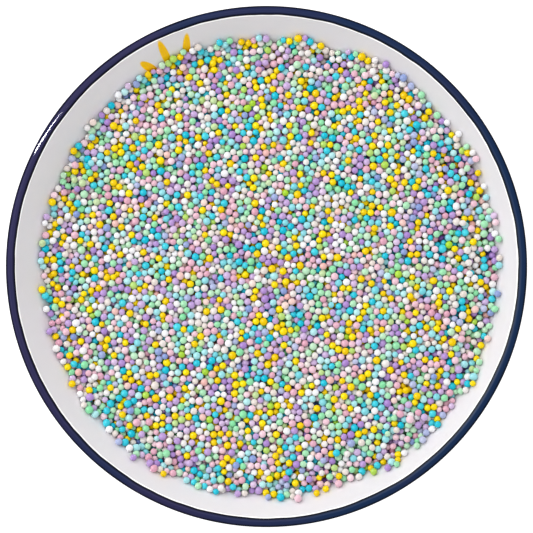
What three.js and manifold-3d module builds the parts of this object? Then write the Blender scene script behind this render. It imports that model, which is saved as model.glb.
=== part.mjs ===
// A shallow round dish of white enamelled steel with a navy rolled rim, filled with nonpareils:
// a nearly level bed of 2 mm pastel sugar beads. Millimetres, +Z up, origin on the table under
// the middle of the dish.
import * as THREE from "three";
import { mergeVertices } from "three/addons/utils/BufferGeometryUtils.js";
import Module from "manifold-3d";

// Dish, pressed from one disc of sheet steel and enamelled on both sides
const DISH_RADIUS = 75;
const FLOOR_RADIUS = 42;
const BEND_RADIUS = 24;
const WALL_SLOPE = THREE.MathUtils.degToRad(54);
const SHEET = 1.2;
const ROLL_RADIUS = 1.24;
const ROLL_END = THREE.MathUtils.degToRad(-95);
const ROUND_SIDES = 64;
const BEND_STEPS = 4;
const ROLL_STEPS = 7;

// Bed of sugar beads
const BEAD_RADIUS = 1;
const BED_EDGE_RADIUS = 67;
const BED_CROWN = 0.4;
const BED_LEAN = new THREE.Vector2(0.0275, -0.0055);
const BUMP_SPACING = 2.95;
const BUMP_DEPTH = 1.1;
const BUMP_UNEVENNESS = 0.25;
const BUMP_SHIFT = 0.45;
const EDGE_BEADS = 38;
const EDGE_BEAD_STRAY = 0.5;
const EDGE_BEAD_SPREAD = 0.08;
const EDGE_BEAD_TURN_SHARE = 0.7;
const GAP_TO_DISH = 0.3;
const RANDOM_SEED = 41;

const ENAMEL_WHITE = 0xeceaec;
const SUGAR_PASTEL = 0xd6d9cc;

// Places that follow from the sizes above
const bendCentreHeight = SHEET + BEND_RADIUS;
const bendEndRadius = FLOOR_RADIUS + BEND_RADIUS * Math.sin(WALL_SLOPE);
const bendEndHeight = bendCentreHeight - BEND_RADIUS * Math.cos(WALL_SLOPE);
const rollCentreRadius = DISH_RADIUS - ROLL_RADIUS;
const wallTopRadius = rollCentreRadius - ROLL_RADIUS * Math.sin(WALL_SLOPE);
const wallTopHeight = wallHeightAt(wallTopRadius);
const rollCentreHeight = wallTopHeight - ROLL_RADIUS * Math.cos(WALL_SLOPE);
const dishHeight = rollCentreHeight + ROLL_RADIUS;
const edgeBeadRadius = BED_EDGE_RADIUS - BEAD_RADIUS;
const bedEdgeHeight =
  wallHeightAt(edgeBeadRadius) + BEAD_RADIUS / Math.cos(WALL_SLOPE) + BEAD_RADIUS;

const wasm = await Module();
wasm.setup();

// Height of the dish's inner face on its straight wall.
function wallHeightAt(radius) {
  return bendEndHeight + (radius - bendEndRadius) * Math.tan(WALL_SLOPE);
}

// Points of an arc in the profile plane, both ends included.
function arc(centreRadius, centreHeight, radius, from, to, steps) {
  const points = [];
  for (let i = 0; i <= steps; i += 1) {
    const angle = from + ((to - from) * i) / steps;
    points.push(
      new THREE.Vector2(
        centreRadius + radius * Math.cos(angle),
        centreHeight + radius * Math.sin(angle),
      ),
    );
  }
  return points;
}

// The bend between floor and wall, on the inner face or offset from it into the hollow.
function bend(offset) {
  const floorAngle = -Math.PI / 2;
  return arc(
    FLOOR_RADIUS,
    bendCentreHeight,
    BEND_RADIUS - offset,
    floorAngle,
    floorAngle + WALL_SLOPE,
    BEND_STEPS,
  );
}

// A lathe turned so that its axis is +Z.
function turned(points) {
  return new THREE.LatheGeometry(points, ROUND_SIDES).rotateX(Math.PI / 2);
}

function solidOf(geometry) {
  const bare = geometry.clone();
  bare.deleteAttribute("normal");
  bare.deleteAttribute("uv");
  const merged = mergeVertices(bare, 1e-4);
  return new wasm.Manifold(
    new wasm.Mesh({
      numProp: 3,
      vertProperties: merged.attributes.position.array,
      triVerts: new Uint32Array(merged.index.array),
    }),
  );
}

function geometryOf(solid) {
  const mesh = solid.getMesh();
  const geometry = new THREE.BufferGeometry();
  geometry.setAttribute("position", new THREE.BufferAttribute(mesh.vertProperties, 3));
  geometry.setIndex(new THREE.BufferAttribute(mesh.triVerts, 1));
  geometry.computeVertexNormals();
  return geometry;
}

// Repeatable random numbers from 0 to 1.
function randomFrom(seed) {
  let state = seed;
  return () => {
    state = (state + 0x6d2b79f5) | 0;
    let t = Math.imul(state ^ (state >>> 15), 1 | state);
    t = (t + Math.imul(t ^ (t >>> 7), 61 | t)) ^ t;
    return ((t ^ (t >>> 14)) >>> 0) / 4294967296;
  };
}

// The dish: outer face from the flat underside up to the outward roll, over the roll, and down the
// inner face to the middle.
function dishGeometry() {
  const rollStart = Math.PI / 2 + WALL_SLOPE;
  const outward = new THREE.Vector2(Math.sin(WALL_SLOPE), -Math.cos(WALL_SLOPE));
  const downWall = new THREE.Vector2(-Math.cos(WALL_SLOPE), -Math.sin(WALL_SLOPE));
  const underRoll = new THREE.Vector2(wallTopRadius, wallTopHeight)
    .addScaledVector(outward, SHEET)
    .addScaledVector(downWall, ROLL_RADIUS);
  return turned([
    new THREE.Vector2(0, 0),
    ...bend(-SHEET),
    underRoll,
    ...arc(rollCentreRadius, rollCentreHeight, ROLL_RADIUS, ROLL_END, rollStart, ROLL_STEPS),
    ...bend(0).reverse(),
    new THREE.Vector2(0, SHEET),
  ]);
}

// The hollow of the dish, less the gap that the bed keeps to it.
function hollowGeometry() {
  const inward = new THREE.Vector2(-Math.sin(WALL_SLOPE), Math.cos(WALL_SLOPE));
  const top = new THREE.Vector2(wallTopRadius, wallTopHeight).addScaledVector(
    inward,
    GAP_TO_DISH,
  );
  return turned([
    new THREE.Vector2(0, SHEET + GAP_TO_DISH),
    ...bend(GAP_TO_DISH),
    top,
    new THREE.Vector2(top.x, dishHeight + BEAD_RADIUS),
    new THREE.Vector2(0, dishHeight + BEAD_RADIUS),
  ]);
}

// Height of the bead tops: gently crowned, and rising to the right and a little to the front.
function bedHeightAt(x, y) {
  const share = Math.min(1, Math.hypot(x, y) / BED_EDGE_RADIUS);
  return bedEdgeHeight + BED_CROWN * (1 - share * share) + BED_LEAN.x * x + BED_LEAN.y * y;
}

// A block whose top is packed with four-sided bumps in staggered rows, shifted and raised at random
// so that they lie as unevenly as poured beads.
function bumpyBlockGeometry(random) {
  const rowSpacing = (BUMP_SPACING * Math.sqrt(3)) / 2;
  const halfRows = Math.ceil(DISH_RADIUS / rowSpacing);
  const halfColumns = Math.ceil(DISH_RADIUS / BUMP_SPACING + halfRows / 2);
  const rows = 2 * halfRows;
  const columns = 2 * halfColumns;
  const positions = [];
  const uneven = (size) => (random() * 2 - 1) * size;
  const addVertex = (column, row, drop) => {
    const stagger = (row - halfRows) / 2;
    const x = (column - halfColumns + stagger) * BUMP_SPACING + uneven(BUMP_SHIFT);
    const y = (row - halfRows) * rowSpacing + uneven(BUMP_SHIFT);
    positions.push(x, y, bedHeightAt(x, y) - drop + uneven(BUMP_UNEVENNESS));
  };
  for (let j = 0; j <= rows; j += 1)
    for (let i = 0; i <= columns; i += 1) addVertex(i, j, BUMP_DEPTH);
  for (let j = 0; j < rows; j += 1)
    for (let i = 0; i < columns; i += 1) addVertex(i + 0.5, j + 0.5, 0);
  const hollowAt = (i, j) => j * (columns + 1) + i;
  const topAt = (i, j) => (rows + 1) * (columns + 1) + j * columns + i;
  const faces = [];
  for (let j = 0; j < rows; j += 1)
    for (let i = 0; i < columns; i += 1) {
      const corners = [
        hollowAt(i, j),
        hollowAt(i + 1, j),
        hollowAt(i + 1, j + 1),
        hollowAt(i, j + 1),
      ];
      corners.forEach((corner, k) => faces.push(corner, corners[(k + 1) % 4], topAt(i, j)));
    }
  const border = [];
  for (let i = 0; i < columns; i += 1) border.push(hollowAt(i, 0));
  for (let j = 0; j < rows; j += 1) border.push(hollowAt(columns, j));
  for (let i = columns; i > 0; i -= 1) border.push(hollowAt(i, rows));
  for (let j = rows; j > 0; j -= 1) border.push(hollowAt(0, j));
  const under = border.map((index) => {
    positions.push(positions[3 * index], positions[3 * index + 1], 0);
    return positions.length / 3 - 1;
  });
  positions.push(0, 0, 0);
  const middle = positions.length / 3 - 1;
  border.forEach((index, k) => {
    const next = (k + 1) % border.length;
    faces.push(index, under[k], border[next]);
    faces.push(border[next], under[k], under[next]);
    faces.push(under[next], under[k], middle);
  });
  const geometry = new THREE.BufferGeometry();
  geometry.setAttribute("position", new THREE.Float32BufferAttribute(positions, 3));
  geometry.setIndex(faces);
  return geometry;
}

// Single beads round the outline, where they lie on the wall beside the bed.
function edgeBeadSolids(random) {
  const beads = [];
  for (let i = 0; i < EDGE_BEADS; i += 1) {
    const angle = ((i + EDGE_BEAD_TURN_SHARE * random()) * 2 * Math.PI) / EDGE_BEADS;
    const direction = new THREE.Vector2(Math.cos(angle), Math.sin(angle));
    const rise = BED_LEAN.dot(direction) * edgeBeadRadius;
    const stray = EDGE_BEAD_STRAY * (random() * 2 - 1);
    const radius = edgeBeadRadius + rise / Math.tan(WALL_SLOPE) + stray;
    const height = wallHeightAt(radius) + (BEAD_RADIUS + GAP_TO_DISH) / Math.cos(WALL_SLOPE);
    const size = BEAD_RADIUS * (1 + EDGE_BEAD_SPREAD * (random() * 2 - 1));
    const bead = new THREE.IcosahedronGeometry(size, 0)
      .rotateX(Math.PI * random())
      .rotateZ(Math.PI * random())
      .translate(radius * direction.x, radius * direction.y, height);
    beads.push(solidOf(bead));
  }
  return beads;
}

// The bed of beads as one solid, filling the dish's hollow up to its bumpy top.
function bedGeometry() {
  const random = randomFrom(RANDOM_SEED);
  let bed = solidOf(bumpyBlockGeometry(random));
  for (const bead of edgeBeadSolids(random)) bed = bed.add(bead);
  bed = bed.intersect(solidOf(hollowGeometry()));
  const largestFirst = bed.decompose().sort((a, b) => b.volume() - a.volume());
  return geometryOf(largestFirst[0]);
}

function named(name, geometry, colour, roughness) {
  const material = new THREE.MeshStandardMaterial({ color: colour, roughness, metalness: 0 });
  const mesh = new THREE.Mesh(geometry, material);
  mesh.name = name;
  return mesh;
}

const dishOfNonpareils = new THREE.Group();
dishOfNonpareils.add(named("dish", dishGeometry(), ENAMEL_WHITE, 0.15));
dishOfNonpareils.add(named("nonpareils", bedGeometry(), SUGAR_PASTEL, 0.45));

export default dishOfNonpareils;
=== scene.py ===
# A shallow dish of white enamelled steel with a navy rolled rim, filled with pastel nonpareils,
# seen from straight above on a white table.
import math

import bmesh
import bpy
import numpy as np
from mathutils import Matrix, Vector


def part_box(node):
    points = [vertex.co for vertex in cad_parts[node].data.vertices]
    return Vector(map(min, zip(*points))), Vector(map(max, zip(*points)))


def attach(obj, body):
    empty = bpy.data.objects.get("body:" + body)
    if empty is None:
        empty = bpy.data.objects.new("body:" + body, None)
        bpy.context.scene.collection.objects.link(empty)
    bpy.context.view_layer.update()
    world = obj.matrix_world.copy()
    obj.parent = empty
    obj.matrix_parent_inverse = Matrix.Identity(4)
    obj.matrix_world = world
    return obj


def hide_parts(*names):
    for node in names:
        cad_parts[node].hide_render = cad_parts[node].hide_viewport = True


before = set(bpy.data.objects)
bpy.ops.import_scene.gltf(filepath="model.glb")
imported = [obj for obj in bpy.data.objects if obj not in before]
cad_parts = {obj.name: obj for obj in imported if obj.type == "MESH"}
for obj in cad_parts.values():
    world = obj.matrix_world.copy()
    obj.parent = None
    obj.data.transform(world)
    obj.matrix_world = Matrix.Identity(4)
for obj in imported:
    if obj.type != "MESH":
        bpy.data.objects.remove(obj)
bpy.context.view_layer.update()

# The dish is one disc of sheet steel, pressed to a flat floor, a round bend and a straight flared
# wall, with its edge rolled outwards. White enamel is fused over all of it, the rolled edge is
# dipped in navy, and three yellow rays of a painted sun show on the wall above the beads.
dish_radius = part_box("dish")[1].x
sheet = 0.0012
floor_radius = 0.56 * dish_radius
bend_radius = 0.32 * dish_radius
wall_slope = math.radians(54)
roll_radius = 0.0015
round_steps = 288
bend_steps = 14
roll_steps = 22
roll_start = math.radians(-118)
navy_shoulder = math.radians(50)
# How far the painted shade at the navy band's edges reaches.
navy_painted_shade_width = 0.0009
navy_edge_blur = 0.00005
navy_unevenness = 0.00008
# How far a random drift moves the painted reflection's change of colour across the rim.
navy_hue_drift = 0.6 * dish_radius
# The painted highlight line beside the navy: its width and its soft edge.
painted_highlight_line_width = 0.00025
painted_highlight_line_fade = 0.0001
shoulder_roughness = 0.5
roll_roughness = 0.04
roughness_fade = 0.0002

# Each ray's tip, length, width and heading in degrees, seen from above.
rays = (
    ((-0.0368, 0.0590), 0.0060, 0.0026, 157),
    ((-0.0312, 0.0653), 0.0090, 0.0026, 115),
    ((-0.0229, 0.0676), 0.0090, 0.0025, 86),
)
ray_softness = 0.22

bend_centre_height = sheet + bend_radius
bend_end_radius = floor_radius + bend_radius * math.sin(wall_slope)
bend_end_height = bend_centre_height - bend_radius * math.cos(wall_slope)
roll_centre_radius = dish_radius - roll_radius
wall_top_radius = roll_centre_radius - roll_radius * math.sin(wall_slope)
wall_top_height = bend_end_height + (wall_top_radius - bend_end_radius) * math.tan(wall_slope)
roll_centre_height = wall_top_height - roll_radius * math.cos(wall_slope)
navy_edge_radius = roll_centre_radius - roll_radius * math.sin(navy_shoulder)
navy_low_height = roll_centre_height - roll_radius


def arc(centre_radius, centre_height, radius, start, end, steps):
    """Points in the profile plane along an arc, both ends included."""
    points = []
    for i in range(steps + 1):
        angle = start + (end - start) * i / steps
        points.append(
            (centre_radius + radius * math.cos(angle), centre_height + radius * math.sin(angle))
        )
    return points


def bend(radius):
    """Points of the bend between floor and wall, at the given radius about its centre."""
    under = -math.pi / 2
    return arc(floor_radius, bend_centre_height, radius, under, under + wall_slope, bend_steps)


def dish_profile():
    """The dish's section, from the middle of its underside out, over the roll and back in."""
    roll = arc(
        roll_centre_radius,
        roll_centre_height,
        roll_radius,
        roll_start,
        math.pi / 2 + wall_slope,
        roll_steps,
    )
    return [(0, 0), *bend(bend_radius + sheet), *roll, *reversed(bend(bend_radius)), (0, sheet)]


def mesh_object(name, bm):
    """An object in the scene with the finished bmesh as its mesh."""
    mesh = bpy.data.meshes.new(name)
    bm.to_mesh(mesh)
    bm.free()
    obj = bpy.data.objects.new(name, mesh)
    bpy.context.scene.collection.objects.link(obj)
    return obj


def turned_object(name, profile, steps):
    """A closed solid of revolution about Z, smooth shaded, from a profile that ends on the axis."""
    bm = bmesh.new()
    verts = [bm.verts.new((radius, 0, height)) for radius, height in profile]
    edges = [bm.edges.new(pair) for pair in zip(verts, verts[1:])]
    bmesh.ops.spin(
        bm,
        geom=verts + edges,
        cent=(0, 0, 0),
        axis=(0, 0, 1),
        angle=2 * math.pi,
        steps=steps,
        use_merge=True,
    )
    bmesh.ops.remove_doubles(bm, verts=bm.verts, dist=1e-6)
    bmesh.ops.recalc_face_normals(bm, faces=bm.faces)
    for face in bm.faces:
        face.smooth = True
    return mesh_object(name, bm)


def srgb(red, green, blue):
    """A colour as it is read off a screen, 0 to 255, as Blender's linear colour."""
    shares = [c / 255 for c in (red, green, blue)]
    linear = [s / 12.92 if s <= 0.04045 else ((s + 0.055) / 1.055) ** 2.4 for s in shares]
    return (*linear, 1)


class Finish:
    """A material and short ways to add nodes to it."""

    def __init__(self, name):
        self.material = bpy.data.materials.new(name)
        self.material.use_nodes = True
        self.nodes = self.material.node_tree.nodes
        self.links = self.material.node_tree.links
        self.shader = self.nodes["Principled BSDF"]

    def add(self, kind, sockets=(), **settings):
        node = self.nodes.new(kind)
        for key, value in settings.items():
            setattr(node, key, value)
        for key, value in dict(sockets).items():
            self.feed(node.inputs[key], value)
        return node

    def feed(self, socket, value):
        if isinstance(value, bpy.types.NodeSocket):
            self.links.new(value, socket)
        else:
            socket.default_value = value

    def math(self, operation, first, second=0.0):
        node = self.add("ShaderNodeMath", {0: first, 1: second}, operation=operation)
        return node.outputs[0]

    def ramp(self, value, start, end, low=0.0, high=1.0):
        """value from start to end, mapped smoothly to low to high."""
        sockets = {"Value": value, 1: start, 2: end, 3: low, 4: high}
        node = self.add("ShaderNodeMapRange", sockets, interpolation_type="SMOOTHSTEP")
        return node.outputs[0]

    def blend(self, share, first, second, blend_type="MIX"):
        sockets = {0: share, 6: first, 7: second}
        node = self.add("ShaderNodeMix", sockets, data_type="RGBA", blend_type=blend_type)
        return node.outputs[2]

    def place(self):
        return self.add("ShaderNodeTexCoord").outputs["Object"]

    def noise(self, place, scale, detail=2.0):
        sockets = {"Vector": place, "Scale": scale, "Detail": detail}
        return self.add("ShaderNodeTexNoise", sockets).outputs["Fac"]

    def cloud(self, place, scale, low, high):
        """Noise, which hardly leaves 0.3 to 0.7, spread from low to high."""
        return self.ramp(self.noise(place, scale), 0.3, 0.7, low, high)

    def bump(self, height, strength, distance):
        sockets = {"Height": height, "Strength": strength, "Distance": distance}
        self.links.new(self.add("ShaderNodeBump", sockets).outputs[0], self.shader.inputs["Normal"])

    def set(self, **values):
        for key, value in values.items():
            self.feed(self.shader.inputs[key.replace("_", " ")], value)


def ray_mask(finish, place, tip, length, width, heading):
    """Where one painted ray lies, seen from above: a long oval, pointed by its soft edge."""
    centre = Vector(tip) - Vector((math.cos(heading), math.sin(heading))) * length / 2
    mapping = finish.add(
        "ShaderNodeMapping",
        {
            "Vector": place,
            "Location": (centre.x, centre.y, 0),
            "Rotation": (0, 0, heading),
            "Scale": (length / 2, width / 2, 1),
        },
        vector_type="TEXTURE",
    )
    oval = finish.add(
        "ShaderNodeTexGradient", {"Vector": mapping.outputs[0]}, gradient_type="SPHERICAL"
    )
    return finish.ramp(oval.outputs["Fac"], 0.0, ray_softness)


def distance_from_axis(finish, place):
    """How far a point of the surface is from the dish's axis, seen from above."""
    across = finish.add("ShaderNodeSeparateXYZ", {0: place})
    squares = [finish.math("POWER", across.outputs[axis], 2.0) for axis in (0, 1)]
    return finish.math("SQRT", finish.math("ADD", *squares))


def white_enamel(finish, place):
    """White with a faint cloudiness."""
    return finish.blend(finish.noise(place, scale=45), srgb(221, 219, 222), srgb(226, 224, 226))


def painted_highlight_line(finish, out, colour):
    """A painted highlight: a brighter line on the white enamel, just inside the navy."""
    line_from = navy_edge_radius - painted_highlight_line_width
    line = finish.ramp(out, line_from - painted_highlight_line_fade, line_from)
    return finish.blend(line, colour, srgb(255, 255, 255))


def painted_rays(finish, place, colour):
    """The yellow rays on the given colour."""
    for tip, length, width, heading in rays:
        mask = ray_mask(finish, place, tip, length, width, math.radians(heading))
        colour = finish.blend(mask, colour, srgb(241, 197, 0))
    return colour


def wall_finish(name, painted):
    """White enamel, on the painted face with the painted highlight line and the rays."""
    finish = Finish(name)
    place = finish.place()
    gloss = finish.cloud(place, scale=200, low=0.18, high=0.24)
    white = white_enamel(finish, place)
    if painted:
        white = painted_highlight_line(finish, distance_from_axis(finish, place), white)
        white = painted_rays(finish, place, white)
    finish.set(Base_Color=white, Roughness=gloss)
    finish.bump(finish.noise(place, scale=90, detail=1.0), strength=0.08, distance=0.0006)
    return finish.material


def rim_finish():
    """Navy from a slightly uneven line on the inner shoulder of the roll, white with a painted
    highlight line inside it. The navy has painted shade at both edges and a painted reflection on
    the window's side.
    """
    finish = Finish("navy_enamel")
    place = finish.place()
    uneven = finish.cloud(place, scale=120, low=-navy_unevenness, high=navy_unevenness)
    out = finish.math("ADD", distance_from_axis(finish, place), uneven)
    navy_share = finish.ramp(
        out, navy_edge_radius - navy_edge_blur, navy_edge_radius + navy_edge_blur
    )
    # Painted reflection: the navy is painted a little lighter and more violet on the left, the
    # window's side, and bluer on the right, with a random drift.
    side = finish.add("ShaderNodeSeparateXYZ", {0: place}).outputs["X"]
    drift = finish.cloud(place, scale=30, low=-navy_hue_drift, high=navy_hue_drift)
    hue = finish.ramp(finish.math("ADD", side, drift), -dish_radius, dish_radius)
    navy = finish.blend(hue, srgb(61, 59, 95), srgb(36, 60, 94))
    # Painted shade: the navy is painted near black towards both edges of the band, where the roll
    # turns away from the light.
    inner_fade = finish.ramp(out, navy_edge_radius, navy_edge_radius + navy_painted_shade_width)
    outer_fade = finish.ramp(out, dish_radius, dish_radius - navy_painted_shade_width)
    middle = finish.math("MULTIPLY", inner_fade, outer_fade)
    navy = finish.blend(middle, srgb(1, 2, 12), navy)
    # White enamel inside the navy, with the painted highlight line.
    white = painted_highlight_line(finish, out, white_enamel(finish, place))
    gloss = finish.ramp(
        out,
        roll_centre_radius - roughness_fade,
        roll_centre_radius,
        shoulder_roughness,
        roll_roughness,
    )
    finish.set(Base_Color=finish.blend(navy_share, white, navy), Roughness=gloss)
    finish.set(Specular_IOR_Level=0.1)
    finish.bump(finish.noise(place, scale=100, detail=1.0), strength=0.03, distance=0.0004)
    return finish.material


dish = turned_object("dish_body", dish_profile(), round_steps)
dish.data.materials.append(wall_finish("white_enamel", painted=False))
dish.data.materials.append(wall_finish("painted_enamel", painted=True))
dish.data.materials.append(rim_finish())
for face in dish.data.polygons:
    if face.center.xy.length > wall_top_radius and face.center.z > navy_low_height:
        face.material_index = 2
    elif face.normal.z > 0:
        face.material_index = 1
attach(dish, "root")
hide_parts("dish")

# The bed of nonpareils is poured in and pressed nearly level, so it lies like any loose grain:
# dense, but in no order, and higher on one side. Its upper beads fall and push each other apart
# until they rest on lower ones, the wall and each other, and stray beads fall last, on its edge.
bead_radius = 0.00098
bead_spread = 0.09
smallest_share = 0.8
largest_share = 1.2
bed_edge_radius = 0.0659
bed_crown = 0.0004
bed_lean = Vector((0.0275, -0.0055))
layer_depth = 0.0040
bead_count = 11000
stray_beads = 130
stray_nearest = 0.2
stray_lift = 1.1 * bead_radius
settling_steps = 330
straying_start = 230
resting_steps = 60
pressing_start = 60
pressed_radius = 0.85 * bed_edge_radius
slowest_fall = 0.004
extra_fall = 0.1
push_strength = 1.6
pushes_per_step = 3
neighbour_steps = 6
neighbour_cell = 2.4 * bead_radius
neighbour_gap = 0.35 * bead_radius
ground_unevenness = 0.35 * bead_radius
wave_count = 6
wave_first = 1.6
wave_step = 0.25
random = np.random.default_rng(7)


def wall_height(radius):
    """Height of the dish's inner face on its straight wall."""
    return bend_end_height + (radius - bend_end_radius) * math.tan(wall_slope)


bed_edge_height = (
    wall_height(bed_edge_radius - bead_radius) + bead_radius / math.cos(wall_slope) + bead_radius
)


def bed_height(x, y):
    """Height of the bead tops in the poured bed."""
    share = (x * x + y * y) / bed_edge_radius**2
    return bed_edge_height + bed_crown * (1 - share) + bed_lean.x * x + bed_lean.y * y


def rough_ground(x, y, waves):
    """Height of the lower beads that the upper ones settle on, uneven by part of a bead."""
    bump = sum(np.sin(along_x * x + along_y * y + phase) for along_x, along_y, phase in waves)
    return bed_height(x, y) - layer_depth - bead_radius + ground_unevenness * bump


def near_pairs(points, radii):
    """Each pair of beads that touch or nearly touch, once, found by sorting them into cells."""
    count = len(points)
    index = ((points - points.min(0)) / neighbour_cell).astype(np.int64) + 1
    shape = index.max(0) + 2
    key = (index[:, 2] * shape[1] + index[:, 1]) * shape[0] + index[:, 0]
    order = np.argsort(key, kind="stable")
    starts = np.r_[True, key[order][1:] != key[order][:-1]]
    slot = np.arange(count) - np.maximum.accumulate(np.where(starts, np.arange(count), 0))
    table = np.full((shape.prod(), slot.max() + 1), -1, np.int64)
    table[key[order], slot] = order
    found = []
    for step in np.ndindex(3, 3, 3):
        offset = ((step[0] - 1) * shape[1] + step[1] - 1) * shape[0] + step[2] - 1
        if offset < 0:
            continue
        for other in table[key + offset].T:
            one = np.flatnonzero((other >= 0) & ((offset > 0) | (other > np.arange(count))))
            two = other[one]
            gap = points[one] - points[two]
            near = (gap * gap).sum(1) < (radii[one] + radii[two] + neighbour_gap) ** 2
            found.append((one[near], two[near]))
    return (np.concatenate(side) for side in zip(*found))


def push_apart(points, radii, one, two):
    """Moves overlapping beads apart, each by half, evened out over its contacts."""
    gap = points[one] - points[two]
    distance = np.sqrt((gap * gap).sum(1)) + 1e-9
    overlap = radii[one] + radii[two] - distance
    hit = overlap > 0
    one, two = one[hit], two[hit]
    push = gap[hit] * (overlap[hit] / distance[hit] / 2)[:, None]
    count = len(points)
    contacts = np.bincount(one, minlength=count) + np.bincount(two, minlength=count)
    share = push_strength / np.maximum(contacts, push_strength)
    for axis in range(3):
        move = np.bincount(one, push[:, axis], count) - np.bincount(two, push[:, axis], count)
        points[:, axis] += move * share


def keep_in_dish(points, radii, waves):
    """Lifts beads off the ground and pushes them in from the wall."""
    ground = rough_ground(points[:, 0], points[:, 1], waves) + radii
    points[:, 2] = np.maximum(points[:, 2], ground)
    out = np.hypot(points[:, 0], points[:, 1])
    clear = (points[:, 2] - wall_height(out)) * math.cos(wall_slope)
    depth = np.maximum(radii - clear, 0)
    points[:, 2] += depth * math.cos(wall_slope)
    points[:, :2] *= (1 - depth * math.sin(wall_slope) / np.maximum(out, bead_radius))[:, None]


def press_level(points, radii):
    """Pushes down the beads that stand above the middle of the bed, as a flat hand would."""
    level = bed_height(points[:, 0], points[:, 1]) - radii
    beyond = np.maximum(np.hypot(points[:, 0], points[:, 1]) - pressed_radius, 0)
    points[:, 2] = np.minimum(points[:, 2], level + beyond)


def settle(points, radii, waves, first_step):
    """Lets beads fall, ever more gently, while they push each other apart and are pressed level."""
    for step in range(first_step, settling_steps):
        if (step - first_step) % neighbour_steps == 0:
            one, two = near_pairs(points, radii)
        fall = bead_radius * (slowest_fall + extra_fall * (1 - step / settling_steps))
        slope_x = bed_lean.x - 2 * bed_crown * points[:, 0] / bed_edge_radius**2
        slope_y = bed_lean.y - 2 * bed_crown * points[:, 1] / bed_edge_radius**2
        points += fall * np.stack([slope_x, slope_y, np.full(len(points), -1.0)], 1)
        for _ in range(pushes_per_step):
            push_apart(points, radii, one, two)
            if step > pressing_start:
                press_level(points, radii)
            keep_in_dish(points, radii, waves)


def poured_beads(count):
    """Centres of beads that are still apart, scattered all through the upper layer."""
    out = (bed_edge_radius - bead_radius) * np.sqrt(random.random(count))
    turn = 2 * np.pi * random.random(count)
    x, y = out * np.cos(turn), out * np.sin(turn)
    height = bed_height(x, y) - layer_depth + 2 * layer_depth * random.random(count)
    return np.stack([x, y, height], 1)


def ground_waves():
    """Directions, lengths and phases of the waves that make the ground uneven."""
    waves = []
    for k, (heading, phase) in enumerate(2 * np.pi * random.random((wave_count, 2))):
        number = wave_first + wave_step * k
        along_x = math.cos(heading) * number / bead_radius
        along_y = math.sin(heading) * number / bead_radius
        waves.append((along_x, along_y, phase))
    return waves


def strays(count):
    """Centres of beads on the wall just above the bed's edge."""
    turn = 2 * np.pi * random.random(count)
    rise = (bed_lean.x * np.cos(turn) + bed_lean.y * np.sin(turn)) * bed_edge_radius
    out = bed_edge_radius + rise / math.tan(wall_slope)
    out += bead_radius * (stray_nearest + random.random(count))
    height = wall_height(out) + stray_lift / math.cos(wall_slope)
    return np.stack([out * np.cos(turn), out * np.sin(turn), height], 1)


def settled_beads():
    """Centres and radii of the upper beads of the bed, the stray ones on its edge last."""
    radii = random.normal(1, bead_spread, bead_count)
    radii = bead_radius * np.clip(radii, smallest_share, largest_share)
    poured = bead_count - stray_beads
    points = poured_beads(poured)
    waves = ground_waves()
    settle(points, radii[:poured], waves, 0)
    points = np.concatenate([points, strays(stray_beads)])
    settle(points, radii, waves, straying_start)
    one, two = near_pairs(points, radii)
    for _ in range(resting_steps):
        push_apart(points, radii, one, two)
        keep_in_dish(points, radii, waves)
    return points, radii


bead_centres, bead_radii = settled_beads()

# The core is the hidden heart of the bed. It fills the dish below the upper beads and follows the
# dish's inner face, so that nothing but sugar shows in the gaps between them. It is painted a
# darker
# grey than the beads: painted shade for the lower beads that lie in the gaps.
core_clearance = 0.0002
core_depth = 0.5 * bead_radius
core_round_steps = 96
core_rise_steps = 24
core_painted_shade = srgb(150, 146, 150)
speckle_share = 0.35


def core_profile():
    """The core's section, from the middle of its underside out, up the wall and back in."""
    top_height = bed_edge_height - layer_depth - core_depth
    side_radius = bend_end_radius + (top_height - bend_end_height) / math.tan(wall_slope)
    side = (side_radius - core_clearance / math.sin(wall_slope), top_height)
    top = [
        (side[0] * (1 - i / core_rise_steps), top_height + bed_crown * (i / core_rise_steps))
        for i in range(1, core_rise_steps + 1)
    ]
    return [(0, sheet + core_clearance), *bend(bend_radius - core_clearance), side, *top]


def core_finish():
    """Sugar painted a darker grey, as shade, with the speckles and dimples of the beads that it
    stands for.
    """
    finish = Finish("sugar_core")
    speckle = finish.add("ShaderNodeTexVoronoi", {"Vector": finish.place(), "Scale": 500.0})
    tinted = finish.blend(speckle_share, core_painted_shade, speckle.outputs["Color"])
    finish.set(Base_Color=tinted, Roughness=0.7)
    finish.bump(speckle.outputs["Distance"], strength=0.8, distance=0.001)
    return finish.material


core = turned_object("bed_core", core_profile(), core_round_steps)
core.data.materials.append(core_finish())
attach(core, "root")
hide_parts("nonpareils")

# Each bead is a grain of sugar tumbled in syrup and colour until it is nearly round, with a satin
# skin. They come mixed in ten colours, and no two are quite the same size, shape or shade. Where a
# bead lies low in the bed, its colour is painted darker and deeper, as painted shade in the gaps.
sugar_albedo = 0.98

# Each colour's share of the beads, its deepest shade and its palest.
colours = {
    "white": (0.212, (226, 219, 213), (235, 236, 238)),
    "peach": (0.030, (231, 195, 190), (236, 224, 218)),
    "pink": (0.118, (222, 179, 195), (237, 218, 224)),
    "lilac": (0.145, (184, 153, 210), (221, 205, 225)),
    "periwinkle": (0.050, (151, 171, 214), (201, 205, 224)),
    "mint": (0.125, (155, 223, 181), (208, 228, 208)),
    "sky": (0.093, (137, 214, 222), (202, 231, 231)),
    "turquoise": (0.078, (18, 199, 217), (96, 216, 226)),
    "yellow": (0.118, (235, 208, 0), (242, 226, 20)),
    "lime": (0.031, (183, 217, 70), (208, 222, 192)),
}
oval_spread = 0.035
oval_limit = 1.6
drawn_share = 1.03
mottle_share = 0.03

# How deep in the bed, in bead radii, the painted shade starts and stops deepening a colour.
shade_top = 0.8
shade_foot = 2.2
shade_share = 1.0


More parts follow.
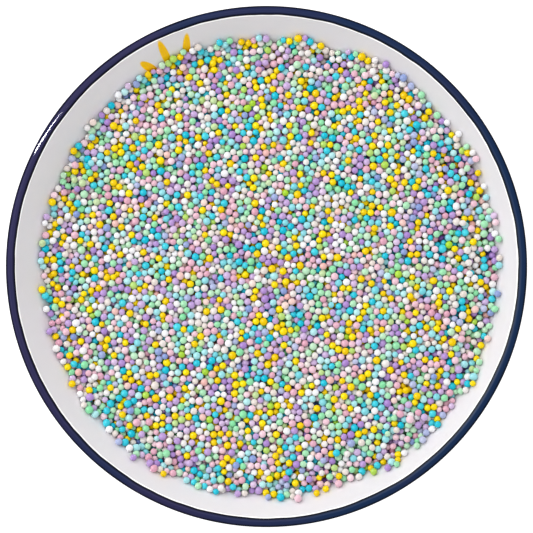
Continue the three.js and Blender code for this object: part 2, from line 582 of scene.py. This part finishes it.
def sugar(red, green, blue):
    """The linear colour of a sugar skin that shows as the given colour in full light."""
    return (*(sugar_albedo * c for c in srgb(red, green, blue)[:3]), 1)


def ball():
    """Vertices and triangles of a ball of sixty faces, all its corners one unit from the middle."""
    bm = bmesh.new()
    bmesh.ops.create_icosphere(bm, subdivisions=1, radius=1)
    bmesh.ops.poke(bm, faces=bm.faces)
    for vert in bm.verts:
        vert.co.normalize()
    bmesh.ops.delete(bm, geom=bm.edges[:] + bm.faces[:], context="EDGES_FACES")
    bmesh.ops.convex_hull(bm, input=bm.verts)
    bmesh.ops.triangulate(bm, faces=bm.faces)
    bmesh.ops.recalc_face_normals(bm, faces=bm.faces)
    bm.verts.index_update()
    corners = np.array([vert.co for vert in bm.verts])
    faces = np.array([[vert.index for vert in face.verts] for face in bm.faces])
    bm.free()
    return corners, faces


def random_turns(count):
    """Rotation matrices spread evenly over all turns."""
    turns = random.normal(size=(4, count))
    w, x, y, z = turns / np.linalg.norm(turns, axis=0)
    rows = [
        [1 - 2 * (y * y + z * z), 2 * (x * y - z * w), 2 * (x * z + y * w)],
        [2 * (x * y + z * w), 1 - 2 * (x * x + z * z), 2 * (y * z - x * w)],
        [2 * (x * z - y * w), 2 * (y * z + x * w), 1 - 2 * (x * x + y * y)],
    ]
    return np.moveaxis(np.array(rows), 2, 0)


def beads_object(name, centres, radii):
    """One joined mesh of slightly oval balls, with a tint value that is the same all over a bead,
    and how deep in the bed each corner lies, in bead radii."""
    corners, faces = ball()
    count = len(centres)
    turns = random_turns(count)
    uneven = np.clip(random.normal(size=(count, 3)), -oval_limit, oval_limit)
    stretch = 1 + oval_spread * uneven
    shaped = corners[None] * (drawn_share * radii[:, None] * stretch)[:, None]
    points = np.einsum("bij,bcj->bci", turns, shaped) + centres[:, None]
    triangles = faces[None] + len(corners) * np.arange(count)[:, None, None]
    mesh = bpy.data.meshes.new(name)
    mesh.from_pydata(points.reshape(-1, 3).tolist(), [], triangles.reshape(-1, 3).tolist())
    mesh.polygons.foreach_set("use_smooth", np.ones(len(mesh.polygons), bool))
    tint = mesh.attributes.new("tint", "FLOAT", "POINT")
    tint.data.foreach_set("value", np.repeat(random.random(count), len(corners)))
    depth = mesh.attributes.new("depth", "FLOAT", "POINT")
    below = (bed_height(points[..., 0], points[..., 1]) - points[..., 2]) / bead_radius
    depth.data.foreach_set("value", below.ravel())
    obj = bpy.data.objects.new(name, mesh)
    bpy.context.scene.collection.objects.link(obj)
    return obj


def sugar_finish(name, deep, pale):
    """A satin sugar skin, each bead with its own tint between the deep and the pale shade, and
    painted shade that darkens it where it lies low in the bed.
    """
    finish = Finish(f"sugar_{name}")
    tint = finish.add("ShaderNodeAttribute", attribute_name="tint").outputs["Fac"]
    place = finish.place()
    skin = finish.blend(tint, sugar(*deep), sugar(*pale))
    # Painted shade: low in the bed the skin is multiplied by itself, so it turns darker and deeper
    # in colour.
    depth = finish.add("ShaderNodeAttribute", attribute_name="depth").outputs["Fac"]
    shade = finish.ramp(depth, shade_top, shade_foot, 0.0, shade_share)
    skin = finish.blend(shade, skin, skin, blend_type="MULTIPLY")
    mottle = finish.ramp(finish.noise(place, scale=1400), 0.4, 0.8, 0.0, mottle_share)
    finish.set(Base_Color=finish.blend(mottle, skin, sugar(246, 244, 242)))
    finish.set(Roughness=0.45, Specular_IOR_Level=0.15, Diffuse_Roughness=1.0)
    finish.bump(finish.noise(place, scale=3200, detail=1.0), strength=0.25, distance=0.00008)
    return finish.material


shares = np.array([share for share, _, _ in colours.values()])
kinds = random.choice(len(colours), bead_count, p=shares / shares.sum())
for number, (name, (_, deep, pale)) in enumerate(colours.items()):
    mine = kinds == number
    beads = beads_object(f"beads_{name}", bead_centres[mine], bead_radii[mine])
    beads.data.materials.append(sugar_finish(name, deep, pale))
    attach(beads, "root")
    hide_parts("nonpareils")

# A white table in a pale room whose ceiling is its brightest part. A broad curtained window stands
# behind the dish on the left. The gap beside its curtain and a window at the side show only as
# streaks on glossy things, and the table isn't reflected in them.
table_size = 3.0
table_darkest = 0.29
table_lightest = 0.31
table_glow = 0.78
floor_glow = 0.2
floor_fade = 0.03
horizon_glow = 0.84
ceiling_glow = 0.88
room_colour = (1, 0.99, 1, 1)
window_distance = 1.0
window_size = 0.95
window_direction = (132, 50)
window_power = 5.2
gap_width = 0.062
gap_top = (143.4, 70)
gap_foot = (153.2, 18)
gap_power = 30.0
side_direction = (184, 36)
side_width = 0.8
side_height = 0.32
side_power = 2.0


def direction(azimuth, elevation):
    """The unit vector at an azimuth, from +X towards +Y, and an elevation, both in degrees."""
    turn, rise = math.radians(azimuth), math.radians(elevation)
    level = math.cos(rise)
    return Vector((level * math.cos(turn), level * math.sin(turn), math.sin(rise)))


def area_light(name, shape, place, facing, up, size, height, power):
    """A flat light at place that faces a point, its height along up."""
    light = bpy.data.lights.new(name, "AREA")
    light.shape = shape
    light.size = size
    light.size_y = height
    light.energy = power
    away = (place - facing).normalized()
    across = up.cross(away).normalized()
    obj = bpy.data.objects.new(name, light)
    obj.matrix_world = Matrix.Translation(place) @ Matrix(
        (across, away.cross(across), away)
    ).transposed().to_4x4()
    bpy.context.scene.collection.objects.link(obj)
    return obj


def grey(value):
    return (value, value, value, 1)


def table_finish():
    """A matt tabletop, lit from within enough to look as burnt out as paper in full sun."""
    finish = Finish("white_table")
    shade = finish.noise(finish.place(), scale=6)
    finish.set(Base_Color=finish.blend(shade, grey(table_darkest), grey(table_lightest)))
    finish.set(Roughness=0.9, Emission_Color=grey(1), Emission_Strength=table_glow)
    return finish.material


bm = bmesh.new()
bmesh.ops.create_grid(bm, x_segments=1, y_segments=1, size=table_size / 2)
table = mesh_object("table", bm)
table.data.materials.append(table_finish())
table.visible_glossy = False

world = bpy.data.worlds.new("room")
world.use_nodes = True
room = world.node_tree.nodes
joins = world.node_tree.links
looking = room.new("ShaderNodeTexCoord").outputs["Generated"]
rise = room.new("ShaderNodeSeparateXYZ")
joins.new(looking, rise.inputs[0])
sky = room.new("ShaderNodeMapRange")
sky.inputs["To Min"].default_value = horizon_glow
sky.inputs["To Max"].default_value = ceiling_glow
glow = room.new("ShaderNodeMapRange")
glow.inputs["From Min"].default_value = -floor_fade
glow.inputs["From Max"].default_value = 0
glow.inputs["To Min"].default_value = floor_glow
for part in (sky, glow):
    joins.new(rise.outputs["Z"], part.inputs["Value"])
joins.new(sky.outputs[0], glow.inputs["To Max"])
joins.new(glow.outputs[0], room["Background"].inputs["Strength"])
room["Background"].inputs["Color"].default_value = room_colour
bpy.context.scene.world = world

rim_middle = Vector((0, 0, roll_centre_height))
area_light(
    "window",
    "RECTANGLE",
    window_distance * direction(*window_direction),
    rim_middle,
    Vector((0, 0, 1)),
    window_size,
    window_size,
    window_power,
)
top = window_distance * direction(*gap_top)
foot = window_distance * direction(*gap_foot)
gap = area_light(
    "window_gap",
    "ELLIPSE",
    (top + foot) / 2,
    rim_middle,
    top - foot,
    gap_width,
    (top - foot).length,
    gap_power,
)
side = area_light(
    "side_window",
    "RECTANGLE",
    window_distance * direction(*side_direction),
    rim_middle,
    Vector((0, 0, 1)),
    side_width,
    side_height,
    side_power,
)
for streak in (gap, side):
    streak.visible_diffuse = False

# The camera looks straight down on the middle of the dish, from as far as a person who stands at
# the table holds it. The picture is bright and soft in its midtones.
frame_pixels = 533
dish_pixels = 260.6
dish_centre_pixels = (266.5, 266.5)
camera_distance = 0.7
photo_gamma = 0.78
photo_exposure = 0.12

pixel = dish_radius / dish_pixels
camera_data = bpy.data.cameras.new("camera")
camera_data.sensor_width = 36
camera_data.lens = camera_data.sensor_width * camera_distance / (frame_pixels * pixel)
camera = bpy.data.objects.new("camera", camera_data)
camera.location = (
    (frame_pixels / 2 - dish_centre_pixels[0]) * pixel,
    (dish_centre_pixels[1] - frame_pixels / 2) * pixel,
    roll_centre_height + camera_distance,
)
bpy.context.scene.collection.objects.link(camera)
bpy.context.scene.camera = camera
bpy.context.scene.view_settings.view_transform = "Standard"
bpy.context.scene.view_settings.gamma = photo_gamma
bpy.context.scene.view_settings.exposure = photo_exposure
